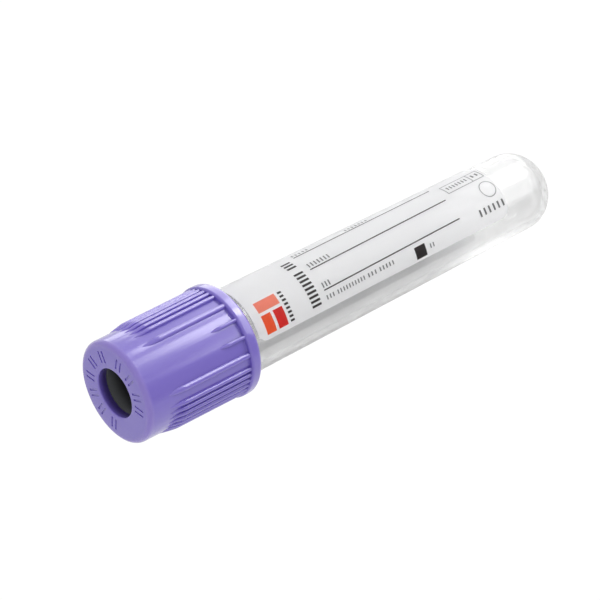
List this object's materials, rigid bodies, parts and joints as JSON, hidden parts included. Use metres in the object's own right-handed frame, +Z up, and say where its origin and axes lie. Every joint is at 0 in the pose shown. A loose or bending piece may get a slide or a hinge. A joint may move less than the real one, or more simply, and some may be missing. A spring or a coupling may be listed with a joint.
{
  "type": "blood collection tube",
  "caption": "Capped plastic sample tube stood on its cap, with a ribbed shield cap, a rubber stopper behind its port and a wrapped label.",
  "frame": {"origin": "middle of the bounding box's footprint, on the surface that the cap's front face stands on", "axes": "+Z runs up along the tube's axis from the cap's front face to the round end, and -Y points at the middle of one of the cap's two smooth panels. The tube stands on its cap because it rolls when it lies"},
  "size_m": [0.0168, 0.0168, 0.0825],
  "materials": {
    "clear_plastic": "clear, moulded, polished",
    "cap_plastic": "lavender polyethylene, semi-gloss",
    "stopper_rubber": "dark grey butyl rubber, smooth",
    "label_film": "matte white film with plain printed fields"
  },
  "bodies": {
    "closure": {"cap": "cap_plastic", "stopper": "stopper_rubber"},
    "barrel": {"tube": "clear_plastic", "label": "label_film"}
  },
  "joints": [
    {"name": "barrel_pull", "type": "slide", "parent": "closure", "child": "barrel", "axis": [0, 0, 1], "range_m": [0, 0.025]}
  ]
}
